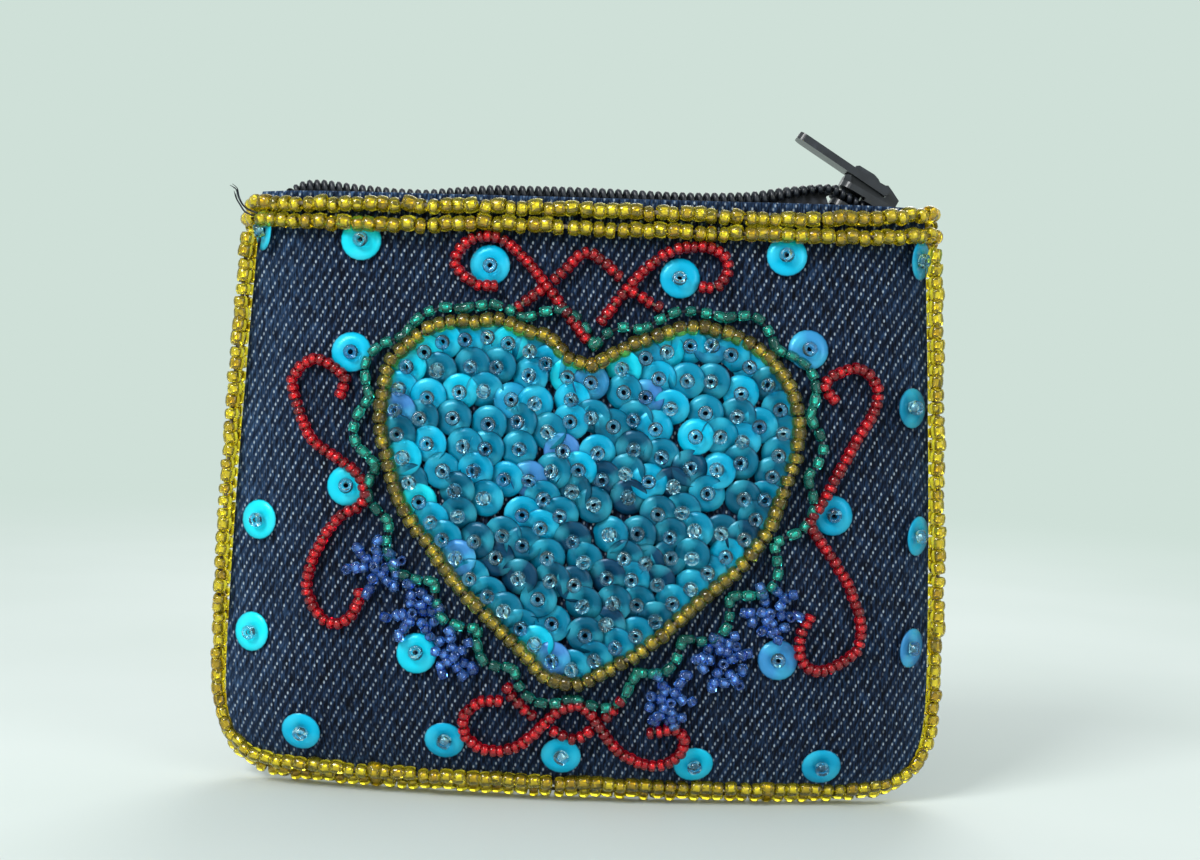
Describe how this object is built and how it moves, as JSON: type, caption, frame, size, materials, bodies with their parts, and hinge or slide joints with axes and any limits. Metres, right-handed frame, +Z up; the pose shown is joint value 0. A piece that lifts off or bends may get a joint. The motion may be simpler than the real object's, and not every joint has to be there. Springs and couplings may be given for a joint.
{
  "type": "coin purse",
  "caption": "Small flat denim coin purse with beads and sequins in a heart on the front, beaded edges and an open zip with a slider and pull tab.",
  "frame": {"origin": "on the surface that the purse stands on, under the middle of its mouth", "axes": "+Z up from the bottom seam to the mouth, +X to the right along the mouth towards the slider's open place, +Y from the beaded front to the back"},
  "size_m": [0.112, 0.0208, 0.1017],
  "materials": {
    "denim": "dark indigo denim with white weft dots",
    "lining": "plain dark cotton",
    "yellow_beads": "silver-lined transparent yellow glass",
    "gold_beads": "silver-lined olive gold glass",
    "green_beads": "translucent teal green glass",
    "red_beads": "transparent dark red glass",
    "blue_beads": "silver-lined cobalt glass",
    "sequins": "iridescent cyan film",
    "aqua_beads": "lined aqua glass",
    "zip_tape": "dark woven polyester tape",
    "zip_coil": "dark nylon",
    "slider_metal": "black enamel",
    "thread": "dark sewing thread"
  },
  "bodies": {
    "purse": {"front_panel": "denim", "back_panel": "denim", "front_lining": "lining", "back_lining": "lining", "seam_beads_left": "yellow_beads", "seam_beads_bottom": "yellow_beads", "seam_beads_right": "yellow_beads", "mouth_beads_front_upper": "yellow_beads", "mouth_beads_front_lower": "yellow_beads", "mouth_beads_back_upper": "yellow_beads", "mouth_beads_back_lower": "yellow_beads", "heart_outline_beads": "gold_beads", "heart_sequins": "sequins", "heart_sequin_beads": "aqua_beads", "scallop_beads": "green_beads", "scroll_left": "red_beads", "scroll_right": "red_beads", "scroll_top_left": "red_beads", "scroll_top_right": "red_beads", "scroll_top_peak": "red_beads", "scroll_bottom_long": "red_beads", "scroll_bottom_cross": "red_beads", "flower_left_upper": "blue_beads", "flower_left_middle": "blue_beads", "flower_left_lower": "blue_beads", "flower_right_upper": "blue_beads", "flower_right_middle": "blue_beads", "flower_right_lower": "blue_beads", "loose_sequins": "sequins", "loose_sequin_beads": "aqua_beads", "zip_tape_front": "zip_tape", "zip_tape_back": "zip_tape", "zip_coil_front": "zip_coil", "zip_coil_back": "zip_coil", "zip_end_tack": "thread", "thread_tail": "thread"},
    "slider": {"slider_body": "slider_metal"},
    "tab": {"pull_tab": "slider_metal"}
  },
  "joints": [
    {"name": "slider_run", "type": "slide", "parent": "purse", "child": "slider", "axis": [-0.9999, 0, -0.0101], "range_m": [0, 0.077], "deforming": ["zip_coil_front", "zip_coil_back", "zip_tape_front", "zip_tape_back"]},
    {"name": "tab_swing", "type": "hinge", "parent": "slider", "child": "tab", "pos_m": [0.04356, 0, 0.09311], "axis": [0, 1, 0], "range_deg": [0, 150]}
  ]
}
